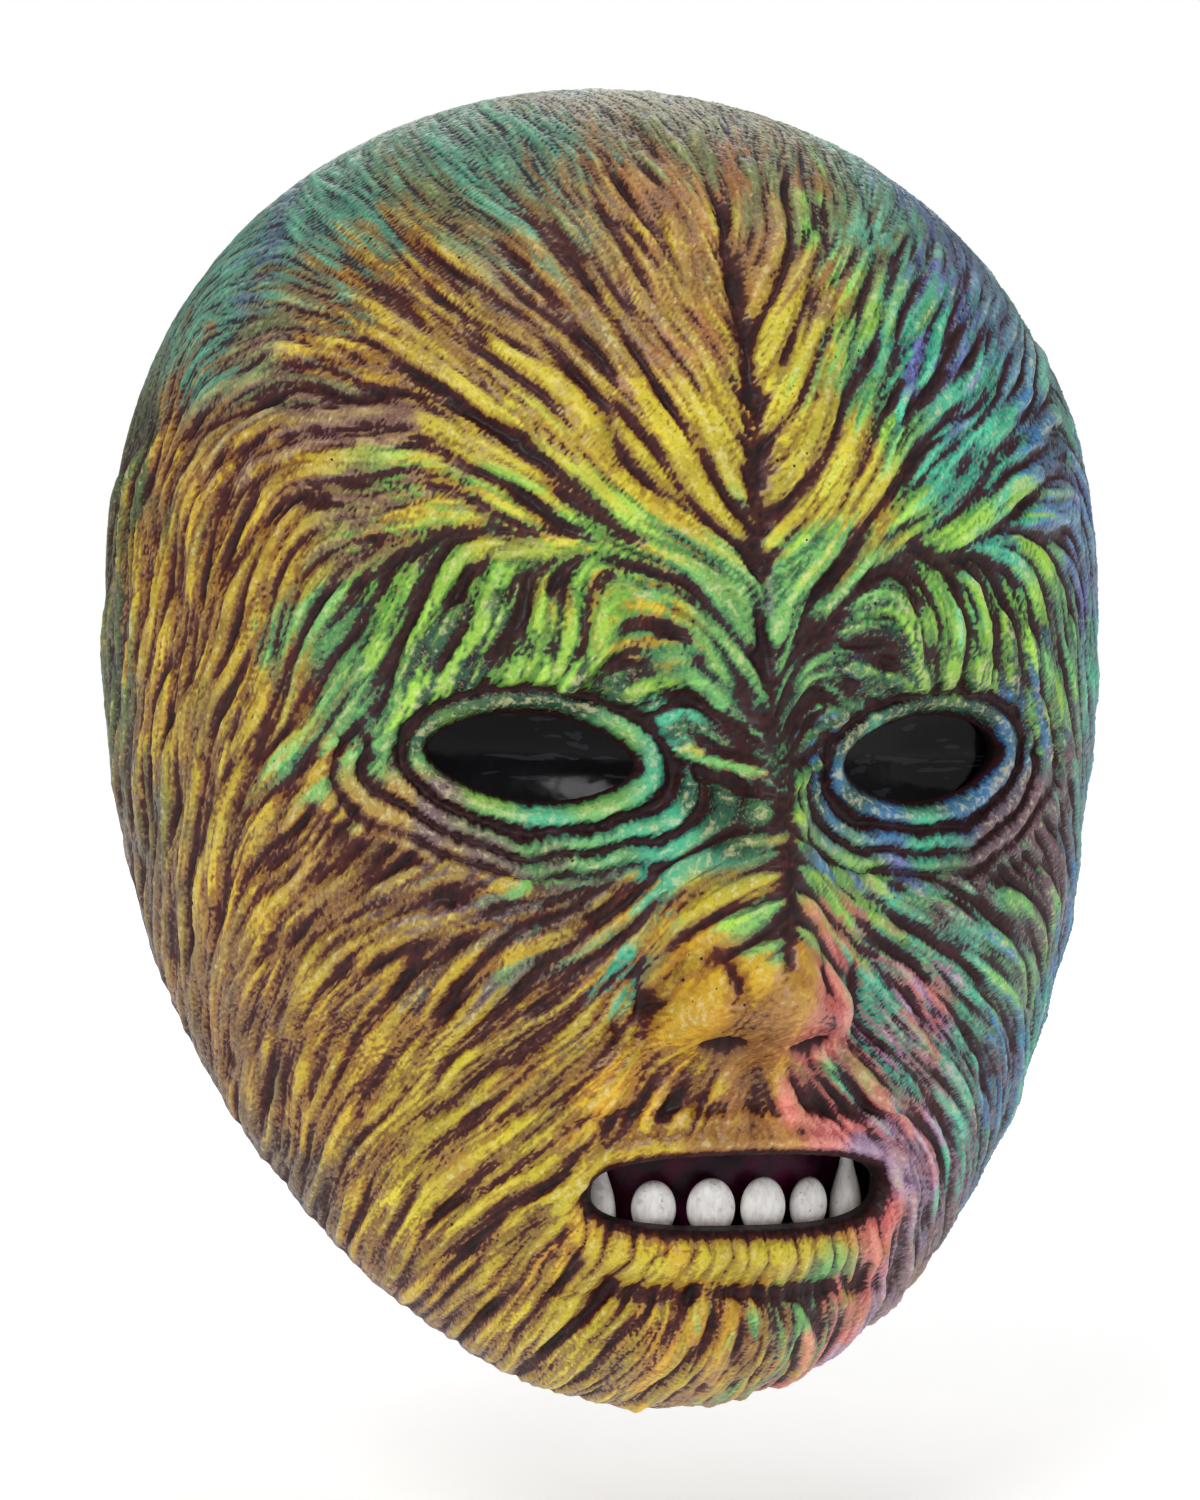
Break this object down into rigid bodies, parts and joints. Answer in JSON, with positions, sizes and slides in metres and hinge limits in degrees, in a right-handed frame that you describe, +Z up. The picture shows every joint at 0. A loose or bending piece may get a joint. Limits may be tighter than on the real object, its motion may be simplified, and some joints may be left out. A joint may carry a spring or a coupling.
{
  "type": "latex halloween mask",
  "caption": "Sculpted latex beast face mask with smoked eye lenses, seated teeth, foam pads and an adjustable elastic head strap.",
  "frame": {"origin": "middle of the wearer's head at eye height", "axes": "the face looks along -Y, +Z is up, +X is the wearer's left"},
  "size_m": [0.202, 0.2015, 0.2619],
  "materials": {
    "painted_latex": "satin airbrushed and washed paint: mustard, green, teal and plum over near-black grooves",
    "mouth_lining": "matte purple-black",
    "gum_rubber": "satin",
    "tooth_resin": "dry-brushed off-white",
    "smoked_lens": "gloss black smoke",
    "gasket_rubber": "matte",
    "foam": "open-cell foam",
    "anchor_rubber": "matte",
    "rivet_metal": "dull antique nickel",
    "washer_plastic": "satin",
    "elastic_webbing": "ribbed woven elastic",
    "strap_plastic": "moulded satin black",
    "thread": "twisted polyester thread"
  },
  "bodies": {
    "mask": {"face_shell": "painted_latex", "mouth_liner": "mouth_lining", "gum": "gum_rubber", "fang_right": "tooth_resin", "incisor_outer_right": "tooth_resin", "incisor_inner_right": "tooth_resin", "incisor_inner_left": "tooth_resin", "incisor_outer_left": "tooth_resin", "fang_left": "tooth_resin", "eye_lens_right": "smoked_lens", "eye_gasket_right": "gasket_rubber", "cheek_pad_right": "foam", "eye_lens_left": "smoked_lens", "eye_gasket_left": "gasket_rubber", "cheek_pad_left": "foam", "forehead_pad": "foam", "anchor_patch_left": "anchor_rubber", "rivet_post_left": "rivet_metal", "rivet_washer_left": "washer_plastic", "rivet_cap_left": "rivet_metal", "anchor_patch_right": "anchor_rubber", "rivet_post_right": "rivet_metal", "rivet_washer_right": "washer_plastic", "rivet_cap_right": "rivet_metal"},
    "strap": {"strap_short": "elastic_webbing", "strap_long": "elastic_webbing", "strap_return": "elastic_webbing", "strap_ring": "strap_plastic", "ring_stitches": "thread"},
    "slider": {"slider": "strap_plastic", "strap_end_fold": "elastic_webbing", "slider_stitches": "thread"}
  },
  "joints": [
    {"name": "strap_swing", "type": "hinge", "parent": "mask", "child": "strap", "pos_m": [0, -0.009, 0.022], "axis": [1, 0, 0], "range_deg": [-30, 70]},
    {"name": "slider_travel", "type": "slide", "parent": "strap", "child": "slider", "axis": [1, 0, 0], "range_m": [0, 0.026], "deforming": ["strap_return"]}
  ]
}
